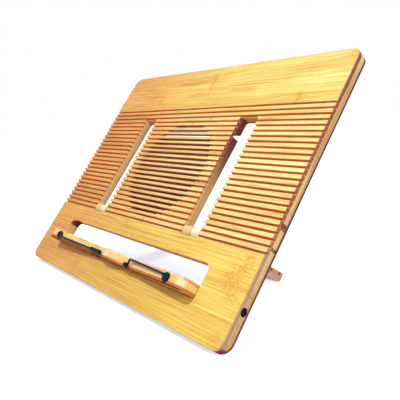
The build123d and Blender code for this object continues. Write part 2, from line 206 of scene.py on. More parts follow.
# Colours of the panel
LEFT_PALE = (0.83, 0.45, 0.095, 1)
LEFT_DEEP = (0.56, 0.22, 0.035, 1)
RIGHT_PALE = (0.90, 0.78, 0.18, 1)
RIGHT_DEEP = (0.76, 0.42, 0.055, 1)
TOP_PALE_AND_LIT = (0.88, 0.86, 0.31, 1)
BAR_PALE = (0.82, 0.88, 0.43, 1)
BAR_DEEP = (0.74, 0.52, 0.13, 1)
RING_BROWN = (0.36, 0.13, 0.035, 1)
FLECK_ORANGE = (0.78, 0.31, 0.03, 1)
GROOVE_RUST = (0.82, 0.22, 0.075, 1)
SLIT_PLUM = (0.50, 0.025, 0.13, 1)
DARK_PATCH_BROWN = (0.14, 0.015, 0.02, 1)
END_PALE = (0.27, 0.08, 0.045, 1)
END_DEEP = (0.14, 0.03, 0.02, 1)
LOW_END_PALE = (0.56, 0.31, 0.19, 1)
LOW_END_DEEP = (0.38, 0.17, 0.10, 1)
BACK_EDGE = (0.16, 0.045, 0.05, 1)
WALL_PALE = (0.84, 0.57, 0.24, 1)
WALL_DEEP = (0.62, 0.33, 0.11, 1)
CORE_PALE = (0.86, 0.64, 0.34, 1)
CORE_DEEP = (0.66, 0.42, 0.19, 1)
BACK_PALE = (0.54, 0.25, 0.15, 1)
BACK_DEEP = (0.32, 0.11, 0.07, 1)

# Colours of the legs
LEG_PALE = (0.88, 0.60, 0.40, 1)
LEG_DEEP = (0.70, 0.42, 0.28, 1)
# The heel's painted cream highlight
HEEL_HIGHLIGHT_CREAM = (0.96, 0.86, 0.60, 1)
HEEL_TAN = (0.84, 0.60, 0.26, 1)
PEG_RED = (0.36, 0.08, 0.05, 1)
PEG_DARK = (0.22, 0.05, 0.035, 1)

# Colours of the ledge
LEDGE_CREAM = (0.92, 0.68, 0.28, 1)
LEDGE_GOLD = (0.76, 0.40, 0.09, 1)
UNDER_PALE = (0.78, 0.42, 0.09, 1)
UNDER_GOLD = (0.58, 0.24, 0.07, 1)
UNDER_BROWN = (0.38, 0.12, 0.045, 1)
# Painted highlight on the ledge's finger boss and right shoulder
HIGHLIGHT_CREAM = (0.98, 0.90, 0.70, 1)
# Painted shade along the ledge's lower arris
ARRIS_SHADE = (0.13, 0.03, 0.04, 1)

# Colours of the metal and the sleeves
PIN_BLACK = (0.001, 0.0015, 0.010, 1)
PIN_STEEL = (0.35, 0.35, 0.36, 1)
WIRE_NAVY = (0.002, 0.003, 0.02, 1)
SLEEVE_NAVY = (0.003, 0.005, 0.026, 1)

# How rough the wood is with lacquer and without, and how thick the lacquer is
LACQUERED = 0.45
BARE = 0.7
LACQUER = 0.3

# Dulled patches: how much paler they are, and how the roughness follows them
DULLED_PALER = 1.8
DULLED_ROUGHER = 0.25
BRIGHT_SMOOTHER = 0.12

# Page clips, in metres above the ledge's face
CLIP_GAP = 0.15 * MM
HEAD_TOP = 2.35 * MM
RECESS_REACH = 1.5 * MM
RECESS_DEPTH = 0.6 * MM
RECESS_TAPER = 0.8
RECESS_SQUARES = 3
CORNER_SQUARES_FROM = 0.8 * RECESS_REACH
RIM_CUTS = 3
FLAT_RADIUS = 1.9 * MM
DISC_SEGMENTS = 64
SHARP_ANGLE = math.radians(40)
SAME_POINT = MM / 1000

# The screw head's outline from the flat round its recess down: radius, and how far each step drops
HEAD_STEPS = [(radius * MM, drop * MM) for radius, drop in (
    (2.2, 0.08), (2.35, 0.18), (2.4, 0.2), (2.4, 0.54), (1.25, 0), (1.25, 10.35))]

# The disc's outline: radius and height
DISC_OUTLINE = [(radius * MM, height * MM) for radius, height in (
    (1.35, 1.2), (2.5, 1.2), (2.5, 2.2), (2.6, 2.33), (2.9, 2.35), (3.3, 2.3), (3.65, 2.12), (3.83, 1.85),
    (3.9, 1.5), (3.9, 0.5), (3.8, 0.25), (3.6, 0.15), (1.35, 0.15))]

# The photographer's place: where the camera stands, which way it faces and its slight roll
CAMERA_PLACE = Vector((0.3740, -0.2659, 0.1558))
CAMERA_AZIMUTH = math.radians(50.99)
CAMERA_FALL = math.radians(10.07)
CAMERA_ROLL = math.radians(-2.24)
CAMERA_LENS = 43.23
SENSOR = 36
NEAREST = 0.01
FARTHEST = 50

# The floor: its colour as the camera sees it and as it lights the stand, and how much it is lifted
# to white under the stand and from half a metre away
FLOOR_RADIUS = 6.0
FLOOR_SEGMENTS = 96
FLOOR_SEEN = (0.93, 1.0, 1.13, 1)
FLOOR_LIT = (0.55, 0.52, 0.54, 1)
FLOOR_GLOW = 0.62
FAR_GLOW = 1.1
SWEEP = (0.28, 0.55)

# The room's own light, which is dim and warm on the stand and white to the camera
ROOM_WARM = (1.0, 0.84, 0.80, 1)
ROOM_LIGHT = 0.25
WHITE = (1, 1, 1, 1)

# Disk lamps: name, place and width in metres, power in watts, colour
LAMPS = (
    ("overhead", (0.1, -0.7, 1.25), 0.12, 11.3, (1.0, 0.98, 0.94)),
    ("front_left", (-0.6, -0.78, 0.85), 0.35, 0.8, (1.0, 0.97, 0.94)),
    ("right", (1.3, -0.2, 0.6), 0.5, 9.0, (1.0, 0.98, 0.95)),
    ("behind", (-0.5, 0.5, 1.25), 0.6, 5.0, (0.98, 0.98, 1.0)),
)

# A colour Mix node's sockets: its share, its two colours and its result
MIX_INPUTS = (0, 6, 7)
MIX_RESULT = 2


class Nodes:
    """Adds shader nodes to one tree. An input is a number, a tuple or another node's socket."""

    def __init__(self, tree):
        self.tree = tree

    def join(self, value, socket):
        if isinstance(value, bpy.types.NodeSocket):
            self.tree.links.new(value, socket)
        else:
            socket.default_value = value

    def add(self, kind, inputs=None, **settings):
        made = self.tree.nodes.new("ShaderNode" + kind)
        for name, value in settings.items():
            setattr(made, name, value)
        for name, value in (inputs or {}).items():
            self.join(value, made.inputs[name])
        return made

    def use(self, group, **inputs):
        made = self.add("Group")
        made.node_tree = group
        for name, value in inputs.items():
            self.join(value, made.inputs[name.replace("_", " ")])
        return made.outputs

    def math(self, operation, *values, clamp=False):
        made = self.add("Math", operation=operation, use_clamp=clamp)
        for value, socket in zip(values, made.inputs):
            self.join(value, socket)
        return made.outputs[0]

    def total(self, *values):
        result = values[0]
        for value in values[1:]:
            result = self.math("ADD", result, value)
        return result

    def times(self, *values):
        result = values[0]
        for value in values[1:]:
            result = self.math("MULTIPLY", result, value)
        return result

    def minus(self, value, less):
        return self.math("SUBTRACT", value, less)

    def inverse(self, share):
        return self.minus(1.0, share)

    def centred(self, noise):
        """A noise or a random number moved so that its middle is 0."""
        return self.minus(noise, 0.5)

    def weighed(self, *pairs):
        """Several values added up, each times its weight."""
        return self.total(*(self.times(value, weight) for value, weight in pairs))

    def ramp(self, value, low, high):
        """0 below low, 1 above high, smooth between. Given high first, it falls instead."""
        made = self.add("MapRange", interpolation_type="SMOOTHSTEP")
        falls = not isinstance(low, bpy.types.NodeSocket) and low > high
        ends = (high, low, 1.0, 0.0) if falls else (low, high, 0.0, 1.0)
        for name, end in zip(("From Min", "From Max", "To Min", "To Max"), ends):
            self.join(end, made.inputs[name])
        self.join(value, made.inputs["Value"])
        return made.outputs[0]

    def within(self, value, zone, border=MM):
        """1 between a zone's two ends, falling to 0 over a border outside them."""
        low, high = zone
        return self.times(self.ramp(value, low - border, low), self.ramp(value, high + border, high))

    def noise(self, place, scale, detail=2.0, roughness=0.5):
        """Noise with one scale, or with one for each direction."""
        if isinstance(scale, tuple):
            place, scale = self.stretch(place, scale), 1.0
        inputs = {"Vector": place, "Scale": scale, "Detail": detail, "Roughness": roughness}
        return self.add("TexNoise", inputs).outputs[0]

    def random(self, value):
        return self.add("TexWhiteNoise", {"W": value}, noise_dimensions="1D").outputs["Value"]

    def vector_math(self, operation, first, second):
        return self.add("VectorMath", {0: first, 1: second}, operation=operation).outputs

    def stretch(self, place, scales):
        return self.vector_math("MULTIPLY", place, scales)[0]

    def shift(self, place, offset):
        return self.vector_math("ADD", place, offset)[0]

    def facing(self, normal, direction):
        """How squarely a face looks along a direction or against it, from 0 to 1."""
        return self.math("ABSOLUTE", self.vector_math("DOT_PRODUCT", normal, direction)["Value"])

    def parts(self, place):
        return self.add("SeparateXYZ", {"Vector": place}).outputs

    def vector(self, x, y, z):
        return self.add("CombineXYZ", {"X": x, "Y": y, "Z": z}).outputs[0]

    def mix(self, share, first, second):
        made = self.add("Mix", data_type="RGBA", blend_type="MIX")
        for value, index in zip((share, first, second), MIX_INPUTS):
            self.join(value, made.inputs[index])
        return made.outputs[MIX_RESULT]

    def tint(self, colour, towards, share, strength):
        """A colour moved towards another one, by up to a strength where the share is 1."""
        return self.mix(self.times(share, strength), colour, towards)


SOCKETS = {"value": "NodeSocketFloat", "vector": "NodeSocketVector", "colour": "NodeSocketColor"}


def new_group(name, inputs, outputs):
    """An empty node group with named inputs and outputs. Returns it, its nodes, and both ends."""
    group = bpy.data.node_groups.new(name, "ShaderNodeTree")
    for title, kind in inputs.items():
        group.interface.new_socket(name=title, in_out="INPUT", socket_type=SOCKETS[kind])
    for title, kind in outputs.items():
        group.interface.new_socket(name=title, in_out="OUTPUT", socket_type=SOCKETS[kind])
    given = group.nodes.new("NodeGroupInput").outputs
    wanted = group.nodes.new("NodeGroupOutput").inputs
    return group, Nodes(group), given, wanted


def bamboo_strips():
    """Pressed bamboo strips along X, stacked along Y: strip tones, fibres, seams and growth rings."""
    group, n, given, wanted = new_group(
        "Bamboo strips",
        {"Place": "vector", "Strip width": "value", "Seed": "value", "Ring strength": "value",
         "Pale": "colour", "Deep": "colour", "Ring": "colour"},
        {"Colour": "colour", "Height": "value"})
    seed, deep, brown = given["Seed"], given["Deep"], given["Ring"]
    x, y, _ = n.parts(given["Place"])
    across = n.total(n.math("DIVIDE", y, given["Strip width"]), seed)
    strip = n.math("FLOOR", across)
    in_strip = n.math("FRACT", across)
    tone = n.random(n.total(strip, seed))
    other_tone = n.random(n.total(strip, seed, SECOND_DRAW))
    offset = n.vector(n.times(tone, MOVED_BY_TONE), n.times(strip, MOVED_BY_STRIP), seed)
    moved = n.shift(given["Place"], offset)
    streaks = n.noise(moved, STREAKS, detail=3)
    fibres = n.noise(moved, FIBRES, detail=3, roughness=0.7)
    cloud = n.noise(moved, CLOUDS)
    shade = n.weighed((n.centred(tone), 0.45), (n.centred(streaks), 1.1), (n.centred(fibres), 2.0),
                      (n.centred(cloud), 0.7))
    colour = n.mix(n.math("ADD", shade, STRIP_SHADE, clamp=True), given["Pale"], deep)

    # Single dark fibres, drawn out along the strip
    thread = n.ramp(n.noise(moved, THREADS, detail=1), *THREADS_SHOW)
    thread = n.times(thread, n.ramp(cloud, *CLOUDS_THREADED))
    colour = n.tint(colour, deep, thread, strength=0.75)
    colour = n.tint(colour, brown, thread, strength=0.22)

    # Pores: short dark flecks
    pores = n.ramp(n.noise(moved, PORES, detail=1), *PORES_SHOW)
    colour = n.tint(colour, deep, pores, strength=0.4)

    # Growth rings: one broken line across a strip every quarter of a metre or so
    along = n.total(n.math("DIVIDE", x, RING_SPACING), n.times(other_tone, RINGS_MOVED), seed)
    wobble = n.times(n.centred(n.noise(moved, RING_WOBBLES)), RING_BEND)
    from_ring = n.math("ABSOLUTE", n.centred(n.math("FRACT", along)))
    from_ring = n.math("ABSOLUTE", n.total(n.times(from_ring, RING_SPACING), wobble))
    line = n.ramp(from_ring, *RING_LINE)
    halo = n.times(n.ramp(from_ring, *RING_HALO), 0.3)
    broken = n.ramp(n.noise(moved, RING_BREAKS, detail=1), *RING_SHOWS)
    ring = n.times(n.total(n.times(line, broken), halo), given["Ring strength"])
    colour = n.mix(n.math("MINIMUM", ring, 0.85), colour, brown)

    # Glue seams between neighbouring strips
    to_seam = n.math("MINIMUM", in_strip, n.inverse(in_strip))
    seam = n.ramp(n.times(to_seam, given["Strip width"]), *SEAM_LINE)
    colour = n.tint(colour, brown, seam, strength=0.25)
    n.join(colour, wanted["Colour"])
    n.join(n.weighed((fibres, 0.55), (streaks, 0.25), (seam, -0.5), (line, -0.3)), wanted["Height"])
    return group


def cut_fibres():
    """The ends of cut fibres: small dark bundles in paler pith."""
    group, n, given, wanted = new_group(
        "Cut fibre ends",
        {"Place": "vector", "Pale": "colour", "Deep": "colour"},
        {"Colour": "colour"})
    place = given["Place"]
    cells = n.add("TexVoronoi", {"Vector": place, "Scale": BUNDLES}).outputs["Distance"]
    bundles = n.ramp(cells, *BUNDLES_SHOW)
    bands = n.noise(place, CUT_BANDS, detail=3)
    cloud = n.noise(place, CUT_CLOUDS)
    shade = n.weighed((bundles, 0.45), (bands, 0.5), (cloud, 0.5))
    colour = n.mix(n.math("ADD", shade, CUT_SHADE, clamp=True), given["Pale"], given["Deep"])
    n.join(colour, wanted["Colour"])
    return group


def growth_mark():
    """One growth ring at a point: a short broken squiggle across the fibres, its halo and stray flecks."""
    group, n, given, wanted = new_group(
        "Growth mark",
        {"Place": "vector", "Along": "value", "Up": "value", "Length": "value", "Spread": "value"},
        {"Line": "value", "Halo": "value", "Flecks": "value"})
    place = given["Place"]
    x, y, _ = n.parts(place)
    own_squiggle = n.shift(n.stretch(place, SQUIGGLES), n.vector(given["Along"], 0.0, 3.0))
    bend = n.times(n.centred(n.noise(own_squiggle, 1.0, detail=3)), MARK_BEND)
    sideways = n.math("ABSOLUTE", n.total(n.minus(x, given["Along"]), bend))
    upward = n.math("ABSOLUTE", n.minus(y, given["Up"]))
    inside = n.ramp(n.math("DIVIDE", upward, given["Length"]), *MARK_ENDS)
    grit = n.ramp(n.noise(place, MARK_GRIT, detail=1), *GRIT_SHOWS)
    n.join(n.times(n.ramp(sideways, *MARK_LINE), inside, grit), wanted["Line"])
    near = n.times(n.ramp(n.math("DIVIDE", sideways, given["Spread"]), *MARK_HALO), inside)
    n.join(near, wanted["Halo"])
    specks = n.ramp(n.noise(place, MARK_FLECKS, detail=1), *FLECKS_SHOW)
    n.join(n.times(specks, near), wanted["Flecks"])
    return group


STRIPS = bamboo_strips()
CUT = cut_fibres()
MARK = growth_mark()


# Where the panel, the ledge and the legs were cut: each turned back to the flat panel

def panel_matrix():
    """From the flat panel to the leaning one. Its origin is the panel's lower left front corner."""
    rest = next(mount for mount in frame["record"]["mounts"] if mount["name"] == "book_rest")
    across = Vector((1, 0, 0))
    out = Vector(rest["axis"]).normalized()
    up = out.cross(across)
    origin = Vector(rest["pos_m"]) - up * BOOK_REST_HEIGHT
    origin.x = cad_low.x
    matrix = Matrix((across, up, out)).transposed().to_4x4()
    matrix.translation = origin
    return matrix


def joint_named(name):
    return next(joint for joint in frame["joints"] if joint["name"] == name)


def unfolded(name):
    """From the flat panel to a piece that its joint has swung open."""
    joint = joint_named(name)
    angle = -math.radians(joint["range_deg"][1])
    centre = Matrix.Translation(Vector(joint["pos_m"]))
    return centre @ Matrix.Rotation(angle, 4, Vector(joint["axis"])) @ centre.inverted() @ PANEL


PANEL = panel_matrix()
LEDGE = unfolded("ledge_hinge")
LEG = unfolded("leg_hinge")
NOTCH_HEIGHT = (PANEL.inverted() @ Vector(joint_named("leg_hinge")["pos_m"])).y + CROSSBAR_DISTANCE
NOTCH = (NOTCH_HEIGHT - NOTCH_HALF, NOTCH_HEIGHT + NOTCH_HALF)


def place_on(n, matrix):
    """Object coordinates turned back to the flat panel."""
    spot = n.add("TexCoord").outputs["Object"]
    turned = n.add("Mapping", {"Vector": spot}, vector_type="TEXTURE")
    turned.inputs["Location"].default_value = matrix.translation
    turned.inputs["Rotation"].default_value = matrix.to_euler()
    return turned.outputs[0]


def side_and_end(n, matrix):
    """How much a face is a side of the panel (looks along X) and a top or bottom edge (looks along Y)."""
    normal = n.add("TexCoord").outputs["Normal"]
    across, up = (tuple(matrix.to_3x3().col[index]) for index in (0, 1))
    return n.ramp(n.facing(normal, across), *SIDE_FACING), n.ramp(n.facing(normal, up), *END_FACING)


# Finishes

def new_finish(name, roughness, coat=0.0, coat_roughness=0.2, metallic=0.0, mirror=0.3):
    """A new material. Mirror is how strongly the surface under the lacquer reflects."""
    material = bpy.data.materials.new(name)
    material.use_nodes = True
    shader = material.node_tree.nodes["Principled BSDF"]
    shader.inputs["Roughness"].default_value = roughness
    shader.inputs["Metallic"].default_value = metallic
    shader.inputs["Coat Weight"].default_value = coat
    shader.inputs["Coat Roughness"].default_value = coat_roughness
    shader.inputs["Specular IOR Level"].default_value = mirror
    return material, Nodes(material.node_tree), shader


def paint(n, shader, colour, height, grain):
    """Gives a finish its colour and its grain, which stands up by a distance."""
    n.join(colour, shader.inputs["Base Color"])
    bump = n.add("Bump", {"Height": height, "Distance": grain, "Strength": 1.0})
    n.join(bump.outputs[0], shader.inputs["Normal"])


def strips_on(n, place, width, seed, pale, deep, rings=0.5, up_panel=False):
    """Bamboo strips that run across the panel, or up it."""
    if up_panel:
        x, y, z = n.parts(place)
        place = n.vector(y, x, z)
    return n.use(STRIPS, Place=place, Strip_width=width, Seed=seed, Ring_strength=rings,
                 Pale=pale, Deep=deep, Ring=RING_BROWN)


def cut_on(n, place, pale, deep):
    return n.use(CUT, Place=place, Pale=pale, Deep=deep)["Colour"]


def in_slit_field(n, place):
    """1 inside the round field whose grooves go through as slits."""
    x, y, _ = n.parts(n.shift(place, (-PANEL_MIDDLE, -FIELD_HEIGHT, 0)))
    distance = n.math("SQRT", n.total(n.times(x, x), n.times(y, y)))
    return n.ramp(distance, FIELD_RADIUS + FIELD_BORDER, FIELD_RADIUS)


def darker_patches(n, place):
    """Dark patches along the right slot's inner wall, higher up, and in the window's corner."""
    x, up, _ = n.parts(place)
    ragged = n.times(n.centred(n.noise(place, DARKER_EDGES)), WALL_DARKER_RAGGED)
    wall = n.times(n.within(x, DARKER_WALL), n.ramp(n.total(up, ragged), *WALL_DARKER_UP))
    corner = n.times(n.within(x, CORNER_DARKER_ACROSS, CORNER_DARKER_BORDER),
                     n.within(up, CORNER_DARKER_UP, CORNER_DARKER_BORDER))
    return n.math("MAXIMUM", wall, corner)


def with_growth_marks(n, place, colour, deep):
    for along, height, length, spread, dark, flecked in FACE_MARKS:
        mark = n.use(MARK, Place=place, Along=along * MM, Up=height * MM,
                     Length=length * MM, Spread=spread * MM)
        colour = n.tint(colour, deep, mark["Halo"], strength=0.25 * flecked)
        colour = n.tint(colour, FLECK_ORANGE, mark["Flecks"], strength=0.65 * flecked)
        if dark:
            colour = n.tint(colour, RING_BROWN, mark["Line"], strength=dark)
    return colour


def panel_front():
    """Satin lacquered face, rust red in the milled grooves, plum where the slits go through."""
    material, n, shader = new_finish("panel_front", LACQUERED, coat=0.08, coat_roughness=0.25)
    place = place_on(n, PANEL)
    x, up, out = n.parts(place)
    side, _ = side_and_end(n, PANEL)

    # The face: browner to the left, yellower to the right, palest on the bars and the top band; partly the wood's
    # tone and partly painted light, brightest to the upper right
    rightward = n.ramp(x, *LEFT_TO_RIGHT)
    bars = n.within(up, GROOVES)
    right_bars = n.times(bars, rightward)
    left_bars = n.times(bars, n.inverse(rightward))
    top_band = n.times(n.ramp(up, *TOP_BAND_UP), n.ramp(x, *TOP_BAND_ACROSS))
    pale = n.mix(rightward, LEFT_PALE, RIGHT_PALE)
    pale = n.mix(top_band, pale, TOP_PALE_AND_LIT)
    pale = n.tint(pale, LEFT_DEEP, left_bars, strength=0.5)
    pale = n.tint(pale, BAR_PALE, right_bars, strength=0.85)
    deep = n.mix(rightward, LEFT_DEEP, RIGHT_DEEP)
    deep = n.tint(deep, BAR_DEEP, right_bars, strength=0.8)
    face = strips_on(n, place, FACE_STRIP, 3.0, pale, deep, rings=0.15)
    colour = with_growth_marks(n, place, face["Colour"], deep)

    # The grooves and slits
    depth = n.times(out, -1.0)
    milled = n.times(n.ramp(depth, *GROOVE_FACE), n.ramp(depth, *GROOVE_BACK), bars)
    colour = n.tint(colour, GROOVE_RUST, milled, strength=0.85)
    colour = n.tint(colour, SLIT_PLUM, n.times(milled, in_slit_field(n, place)), strength=0.9)

    # The side edges, and the walls of the slots and the window
    edge = n.mix(n.ramp(up, *PALER_SIDE), cut_on(n, place, END_PALE, END_DEEP),
                 cut_on(n, place, LOW_END_PALE, LOW_END_DEEP))
    walls = n.mix(n.within(x, FACE_WALLS), edge, cut_on(n, place, WALL_PALE, WALL_DEEP))
    walls = n.tint(walls, DARK_PATCH_BROWN, darker_patches(n, place), strength=0.92)
    paint(n, shader, n.mix(side, colour, walls), face["Height"], FACE_GRAIN)
    return material


def panel_ply(name, pale, deep, seed, up_panel=False):
    """The core or back ply: cut fibres on its ends, plum in the slits and a few darker walls."""
    material, n, shader = new_finish(name, BARE, mirror=0.06)
    place = place_on(n, PANEL)
    x, up, _ = n.parts(place)
    side, end = side_and_end(n, PANEL)
    strips = strips_on(n, place, PLY_STRIP, seed, pale, deep, up_panel=up_panel)
    edge = cut_on(n, place, END_PALE if up_panel else BACK_EDGE, END_DEEP)
    inner = n.times(n.within(x, PLY_WALLS_ACROSS), n.within(up, PLY_WALLS_UP))
    cut = n.mix(inner, edge, cut_on(n, place, WALL_PALE, WALL_DEEP))
    colour = n.mix(end if up_panel else side, strips["Colour"], cut)
    colour = n.tint(colour, LOW_END_DEEP, n.times(n.ramp(up, *TAN_SIDE), side), strength=0.3)

    # Two dark knots in the right side edge
    knots = n.math("MAXIMUM", *(n.within(up, knot) for knot in SIDE_KNOTS))
    ragged = n.ramp(n.noise(place, KNOT_EDGES), *KNOT_SHOWS)
    on_edge = n.times(knots, ragged, side, n.ramp(x, *RIGHT_SIDE))
    colour = n.tint(colour, BACK_EDGE, on_edge, strength=0.95)

    # The slits' walls, but not the notch's, and the darker patches
    slit = n.times(in_slit_field(n, place), n.inverse(n.within(up, NOTCH, NOTCH_BORDER)), end)
    colour = n.tint(colour, SLIT_PLUM, slit, strength=0.9)
    darker = n.times(darker_patches(n, place), n.math("MAXIMUM", side, end))
    colour = n.tint(colour, DARK_PATCH_BROWN, darker, strength=0.92)
    paint(n, shader, colour, strips["Height"], PLY_GRAIN)
    return material


def leg_wood():
    """Pinkish legs whose heels, where the pins go through, are tan with a painted cream highlight on their outer
    part and a painted dark shade line between.
    """
    material, n, shader = new_finish("leg", 0.5, coat=0.15)
    place = place_on(n, LEG)
    x, up, _ = n.parts(place)
    _, end = side_and_end(n, LEG)
    strips = strips_on(n, place, LEG_STRIP, 11.0, LEG_PALE, LEG_DEEP, up_panel=True)
    colour = n.mix(end, strips["Colour"], cut_on(n, place, LEG_PALE, END_PALE))
    on_right_leg = n.inverse(n.math("LESS_THAN", x, PANEL_MIDDLE))
    across = n.minus(n.minus(x, LEG_LEFT_SIDE), n.times(on_right_leg, LEG_PITCH))
    # Painted light on the heel: a cream highlight on its outer part and a dark shade line beside it
    heel = n.mix(n.ramp(across, *HEEL_HIGHLIGHT_PART), HEEL_TAN, HEEL_HIGHLIGHT_CREAM)
    heel = n.tint(heel, END_PALE, n.within(across, HEEL_SHADE_LINE, SHADE_LINE_BORDER), strength=0.5)
    colour = n.mix(n.ramp(up, *LEG_HEEL), colour, heel)
    paint(n, shader, colour, strips["Height"], PLY_GRAIN)
    return material


def plain_wood(name, matrix, seed, strip_colours, cut_colours, up_panel=False, lacquered=True, edge_colour_and_light=None):
    """Wood whose strips run across the panel, or up it, with cut ends on the faces that cross them."""
    coat = LACQUER if lacquered else 0.0
    roughness = LACQUERED if lacquered else BARE
    material, n, shader = new_finish(name, roughness, coat=coat, coat_roughness=0.15, mirror=coat)
    place = place_on(n, matrix)
    side, end = side_and_end(n, matrix)
    strips = strips_on(n, place, PLY_STRIP, seed, *strip_colours, up_panel=up_panel)
    colour = n.mix(end if up_panel else side, strips["Colour"], cut_on(n, place, *cut_colours))
    if edge_colour_and_light:
        colour = edge_colour_and_light(n, place, end, colour)
    paint(n, shader, colour, strips["Height"], PLY_GRAIN)
    return material


def browner_edge_and_shade_line(n, place, end, colour):
    """The ledge's lower ply is browner on its long edge, with a painted shade line along its lower corner."""
    colour = n.tint(colour, cut_on(n, place, UNDER_GOLD, UNDER_BROWN), end, strength=0.8)
    # A dark painted shade line along the lower corner of the long edge
    _, _, out = n.parts(place)
    corner = n.times(n.ramp(out, *ARRIS_SHADE_DEPTH), n.ramp(end, 0.0, 0.3))
    return n.tint(colour, ARRIS_SHADE, corner, strength=0.9)


def painted_highlights(n, place, end, colour):
    """The ledge's core is painted pale cream on the finger boss and on the right shoulder: painted highlights
    where its front curves.
    """
    x, _, _ = n.parts(place)
    boss = n.times(n.within(x, BOSS_HIGHLIGHT, BOSS_BORDER), 0.6)
    shoulder = n.times(n.within(x, SHOULDER_HIGHLIGHT, SHOULDER_BORDER), 0.5)
    return n.tint(colour, HIGHLIGHT_CREAM, n.math("MAXIMUM", boss, shoulder), strength=end)


def smooth_finish(name, colour, roughness, metallic=0.0, mirror=0.5):
    """The metal parts and the clips' sleeves: faint turning marks and dulled patches."""
    material, n, shader = new_finish(name, roughness, metallic=metallic, mirror=mirror)
    spot = n.add("TexCoord").outputs["Object"]
    patches = n.noise(spot, METAL_PATCHES, detail=3)
    dulled = tuple(min(1.0, part * DULLED_PALER) for part in colour[:3]) + (1,)
    rougher = n.total(n.times(patches, DULLED_ROUGHER), roughness - BRIGHT_SMOOTHER)
    n.join(rougher, shader.inputs["Roughness"])
    colour = n.mix(n.ramp(patches, *PATCHES_SHOW), colour, dulled)
    paint(n, shader, colour, n.noise(spot, METAL_MARKS), METAL_GRAIN)
    return material


# The page clips' heads

def clip_place(side):
    """Where a clip stands: Z along its screw, out of the ledge, with the ledge's face at 0."""
    out = Vector(joint_named(f"clip_{side}_hinge")["axis"]).normalized()
    if out.z < 0:
        out = -out
    low, high = (Vector(corner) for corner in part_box(f"clip_disc_{side}"))
    across = out.cross(Vector((1, 0, 0))).normalized()
    matrix = Matrix((across.cross(out), across, out)).transposed().to_4x4()
    matrix.translation = (low + high) / 2 - out * (CLIP_GAP + HEAD_TOP) / 2
    return matrix


def finish_piece(name, bm, matrix, material, body, node):
    """Puts a piece in its place, on its body, and in place of a plain CAD node."""
    bmesh.ops.remove_doubles(bm, verts=bm.verts, dist=SAME_POINT)
    bmesh.ops.recalc_face_normals(bm, faces=bm.faces)
    bmesh.ops.transform(bm, matrix=matrix, verts=bm.verts)
    mesh = bpy.data.meshes.new(name)
    bm.to_mesh(mesh)
    bm.free()
    mesh.shade_smooth()
    mesh.set_sharp_from_angle(angle=SHARP_ANGLE)
    mesh.materials.append(material)
    piece = bpy.data.objects.new(name, mesh)
    bpy.context.scene.collection.objects.link(piece)
    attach(piece, body)
    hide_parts(node)


def only(kind, geometry):
    return [part for part in geometry if isinstance(part, kind)]


def cross_screw(side, material):
    """The pivot screw: a domed head with a cross recess, on a plain shank that goes into the ledge."""
    bm = bmesh.new()

    # A cross of five squares, joined to the round flat about it and then sunk
    bmesh.ops.create_grid(bm, x_segments=RECESS_SQUARES, y_segments=RECESS_SQUARES, size=RECESS_REACH)
    corners = [face for face in bm.faces if face.calc_center_median().length > CORNER_SQUARES_FROM]
    bmesh.ops.delete(bm, geom=corners, context="FACES")
    outline = [edge for edge in bm.edges if edge.is_boundary]
    bmesh.ops.subdivide_edges(bm, edges=outline, cuts=RIM_CUTS)
    cross = list(bm.faces)
    rim = [edge for edge in bm.edges if edge.is_boundary]
    bmesh.ops.create_circle(bm, segments=len(rim), radius=FLAT_RADIUS)
    ring = [edge for edge in bm.edges if edge.is_wire]
    bmesh.ops.bridge_loops(bm, edges=rim + ring)
    sunk = bmesh.ops.extrude_face_region(bm, geom=cross)["geom"]
    recess = only(bmesh.types.BMVert, sunk)
    bmesh.ops.scale(bm, vec=(RECESS_TAPER, RECESS_TAPER, 1), verts=recess)
    bmesh.ops.translate(bm, vec=(0, 0, -RECESS_DEPTH), verts=recess)
    bmesh.ops.delete(bm, geom=[face for face in cross if face.is_valid], context="FACES_ONLY")

    # The dome, the head's underside and the shank
    radius = FLAT_RADIUS
    for wider, drop in HEAD_STEPS:
        made = bmesh.ops.extrude_edge_only(bm, edges=ring)["geom"]
        verts = only(bmesh.types.BMVert, made)
        ring = [edge for edge in only(bmesh.types.BMEdge, made) if all(vert in verts for vert in edge.verts)]
        bmesh.ops.scale(bm, vec=(wider / radius, wider / radius, 1), verts=verts)
        bmesh.ops.translate(bm, vec=(0, 0, -drop), verts=verts)
        radius = wider
    bmesh.ops.edgeloop_fill(bm, edges=ring)
    bmesh.ops.translate(bm, vec=(0, 0, HEAD_TOP), verts=bm.verts)
    finish_piece(f"screw_head_{side}", bm, clip_place(side), material,
                 "ledge", f"clip_screw_{side}")


def rolled_disc(side, material):
    """The turning disc, hollowed for its screw's head, with a rolled rim."""
    bm = bmesh.new()
    corners = [bm.verts.new((radius, 0, height)) for radius, height in DISC_OUTLINE]
    edges = [bm.edges.new(pair) for pair in zip(corners, corners[1:] + corners[:1])]
    bmesh.ops.spin(bm, geom=corners + edges, axis=(0, 0, 1), cent=(0, 0, 0), angle=2 * math.pi,
                   steps=DISC_SEGMENTS, use_merge=True)
    finish_piece(f"disc_{side}", bm, clip_place(side), material,
                 f"clip_{side}", f"clip_disc_{side}")


# Which piece gets which finish

def dress(node, material):
    for slot in frame["nodes"][node].material_slots:
        slot.material = material


def dress_panel():
    dress("board_front_ply", panel_front())
    dress("board_core_ply", panel_ply("panel_core", CORE_PALE, CORE_DEEP, 5.0, up_panel=True))
    dress("board_back_ply", panel_ply("panel_back", BACK_PALE, BACK_DEEP, 8.0))


